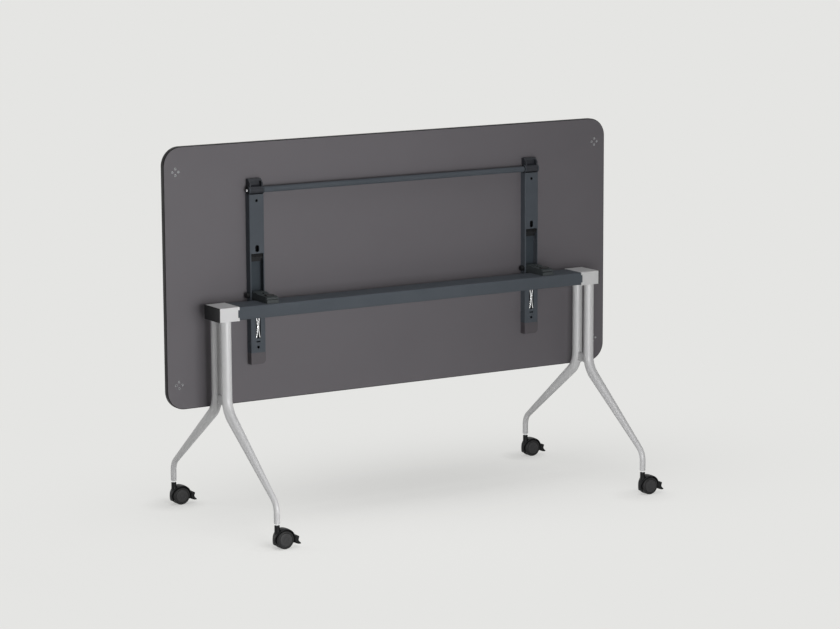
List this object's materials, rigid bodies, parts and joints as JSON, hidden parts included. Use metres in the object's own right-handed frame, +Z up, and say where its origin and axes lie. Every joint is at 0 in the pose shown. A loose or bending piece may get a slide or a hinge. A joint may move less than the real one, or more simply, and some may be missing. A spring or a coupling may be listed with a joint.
{
  "type": "flip-top conference table",
  "caption": "Rectangular flip-top conference table: worktop hinged on a central beam, latched by rails with a release rod, on splayed tube legs with braked twin-wheel castors.",
  "frame": {"origin": "on the floor, midway between the four castor stems, with the top tipped up", "axes": "+X along the table, +Y away from the tipped top's underside, +Z up"},
  "size_m": [1.6, 0.708, 1.157],
  "materials": {
    "anthracite_steel": "satin",
    "silver_casting": "satin",
    "silver_tube": "satin",
    "black_plastic": "matte",
    "anthracite_plastic": "matte",
    "black_rubber": "matte",
    "blackened_steel": "satin",
    "plated_steel": "satin",
    "chipboard": "matte",
    "grey_laminate": "satin",
    "black_edging": "satin",
    "castor_plastic": "satin",
    "castor_tread": "matte"
  },
  "bodies": {
    "frame": {"beam": "anthracite_steel", "head_left": "silver_casting", "head_right": "silver_casting", "head_cap_left": "black_plastic", "head_cap_right": "black_plastic", "leg_left_front": "silver_tube", "leg_left_rear": "silver_tube", "leg_right_front": "silver_tube", "leg_right_rear": "silver_tube", "leg_spacers": "silver_casting", "head_bolts": "blackened_steel", "stem_sockets": "black_plastic", "castor_stems": "plated_steel", "bracket_left": "black_plastic", "bracket_right": "black_plastic", "bracket_bolts": "plated_steel", "bracket_bumpers": "black_rubber", "hinge_bushes": "black_plastic"},
    "top": {"hinge_pins": "plated_steel", "hinge_bosses": "black_plastic", "top_core": "chipboard", "worktop_laminate": "grey_laminate", "underside_laminate": "grey_laminate", "edge_band": "black_edging", "rail_left": "anthracite_steel", "rail_right": "anthracite_steel", "base_plate_left": "anthracite_steel", "base_plate_right": "anthracite_steel", "rail_end_caps": "anthracite_plastic", "rail_screws": "plated_steel", "hold_up_springs": "plated_steel", "rod_bushes": "black_plastic", "linking_sleeves": "plated_steel"},
    "release": {"release_rod": "anthracite_steel", "release_lever_left": "black_plastic", "release_lever_right": "black_plastic", "rod_end_washers": "black_plastic", "rod_end_screws": "plated_steel"},
    "latch_slide_left": {"latch_left": "black_plastic"},
    "latch_slide_right": {"latch_right": "black_plastic"},
    "castor_left_front_swivel": {"castor_left_front_hood": "castor_plastic", "castor_left_front_axle": "plated_steel"},
    "castor_left_front_front_roller": {"castor_left_front_wheel_front": "castor_tread"},
    "castor_left_front_rear_roller": {"castor_left_front_wheel_rear": "castor_tread"},
    "castor_left_front_brake": {"castor_left_front_pedal": "castor_plastic"},
    "castor_left_rear_swivel": {"castor_left_rear_hood": "castor_plastic", "castor_left_rear_axle": "plated_steel"},
    "castor_left_rear_front_roller": {"castor_left_rear_wheel_front": "castor_tread"},
    "castor_left_rear_rear_roller": {"castor_left_rear_wheel_rear": "castor_tread"},
    "castor_left_rear_brake": {"castor_left_rear_pedal": "castor_plastic"},
    "castor_right_front_swivel": {"castor_right_front_hood": "castor_plastic", "castor_right_front_axle": "plated_steel"},
    "castor_right_front_front_roller": {"castor_right_front_wheel_front": "castor_tread"},
    "castor_right_front_rear_roller": {"castor_right_front_wheel_rear": "castor_tread"},
    "castor_right_front_brake": {"castor_right_front_pedal": "castor_plastic"},
    "castor_right_rear_swivel": {"castor_right_rear_hood": "castor_plastic", "castor_right_rear_axle": "plated_steel"},
    "castor_right_rear_front_roller": {"castor_right_rear_wheel_front": "castor_tread"},
    "castor_right_rear_rear_roller": {"castor_right_rear_wheel_rear": "castor_tread"},
    "castor_right_rear_brake": {"castor_right_rear_pedal": "castor_plastic"}
  },
  "joints": [
    {"name": "top_tilt", "type": "hinge", "parent": "frame", "child": "top", "pos_m": [0, 0.0715, 0.69], "axis": [1, 0, 0], "range_deg": [0, 90]},
    {"name": "release_turn", "type": "hinge", "parent": "top", "child": "release", "pos_m": [0, 0.0693, 1.0115], "axis": [1, 0, 0], "range_deg": [0, 27]},
    {"name": "latch_left_slide", "type": "slide", "parent": "top", "child": "latch_slide_left", "axis": [0, 0, 1], "range_m": [0, 0.00607], "stiffness_N_per_m": 150, "springref_m": -0.02},
    {"name": "latch_right_slide", "type": "slide", "parent": "top", "child": "latch_slide_right", "axis": [0, 0, 1], "range_m": [0, 0.00607]},
    {"name": "castor_left_front_turn", "type": "hinge", "parent": "frame", "child": "castor_left_front_swivel", "pos_m": [-0.66, -0.337, 0.055], "axis": [0, 0, 1], "continuous": true},
    {"name": "castor_left_front_front_roll", "type": "hinge", "parent": "castor_left_front_swivel", "child": "castor_left_front_front_roller", "pos_m": [-0.639, -0.337, 0.028], "axis": [0, 1, 0], "continuous": true},
    {"name": "castor_left_front_rear_roll", "type": "hinge", "parent": "castor_left_front_swivel", "child": "castor_left_front_rear_roller", "pos_m": [-0.639, -0.337, 0.028], "axis": [0, 1, 0], "continuous": true},
    {"name": "castor_left_front_pedal_turn", "type": "hinge", "parent": "castor_left_front_swivel", "child": "castor_left_front_brake", "pos_m": [-0.617, -0.337, 0.018], "axis": [0, 1, 0], "range_deg": [0, 10]},
    {"name": "castor_left_rear_turn", "type": "hinge", "parent": "frame", "child": "castor_left_rear_swivel", "pos_m": [-0.66, 0.337, 0.055], "axis": [0, 0, 1], "continuous": true},
    {"name": "castor_left_rear_front_roll", "type": "hinge", "parent": "castor_left_rear_swivel", "child": "castor_left_rear_front_roller", "pos_m": [-0.639, 0.337, 0.028], "axis": [0, 1, 0], "continuous": true},
    {"name": "castor_left_rear_rear_roll", "type": "hinge", "parent": "castor_left_rear_swivel", "child": "castor_left_rear_rear_roller", "pos_m": [-0.639, 0.337, 0.028], "axis": [0, 1, 0], "continuous": true},
    {"name": "castor_left_rear_pedal_turn", "type": "hinge", "parent": "castor_left_rear_swivel", "child": "castor_left_rear_brake", "pos_m": [-0.617, 0.337, 0.018], "axis": [0, 1, 0], "range_deg": [0, 10]},
    {"name": "castor_right_front_turn", "type": "hinge", "parent": "frame", "child": "castor_right_front_swivel", "pos_m": [0.66, -0.337, 0.055], "axis": [0, 0, 1], "continuous": true},
    {"name": "castor_right_front_front_roll", "type": "hinge", "parent": "castor_right_front_swivel", "child": "castor_right_front_front_roller", "pos_m": [0.681, -0.337, 0.028], "axis": [0, 1, 0], "continuous": true},
    {"name": "castor_right_front_rear_roll", "type": "hinge", "parent": "castor_right_front_swivel", "child": "castor_right_front_rear_roller", "pos_m": [0.681, -0.337, 0.028], "axis": [0, 1, 0], "continuous": true},
    {"name": "castor_right_front_pedal_turn", "type": "hinge", "parent": "castor_right_front_swivel", "child": "castor_right_front_brake", "pos_m": [0.703, -0.337, 0.018], "axis": [0, 1, 0], "range_deg": [0, 10]},
    {"name": "castor_right_rear_turn", "type": "hinge", "parent": "frame", "child": "castor_right_rear_swivel", "pos_m": [0.66, 0.337, 0.055], "axis": [0, 0, 1], "continuous": true},
    {"name": "castor_right_rear_front_roll", "type": "hinge", "parent": "castor_right_rear_swivel", "child": "castor_right_rear_front_roller", "pos_m": [0.681, 0.337, 0.028], "axis": [0, 1, 0], "continuous": true},
    {"name": "castor_right_rear_rear_roll", "type": "hinge", "parent": "castor_right_rear_swivel", "child": "castor_right_rear_rear_roller", "pos_m": [0.681, 0.337, 0.028], "axis": [0, 1, 0], "continuous": true},
    {"name": "castor_right_rear_pedal_turn", "type": "hinge", "parent": "castor_right_rear_swivel", "child": "castor_right_rear_brake", "pos_m": [0.703, 0.337, 0.018], "axis": [0, 1, 0], "range_deg": [0, 10]}
  ],
  "couplings": [
    {"joint": "release_turn", "follows": "latch_left_slide", "rad_per_m": 77.63},
    {"joint": "latch_right_slide", "follows": "latch_left_slide", "ratio": 1}
  ]
}
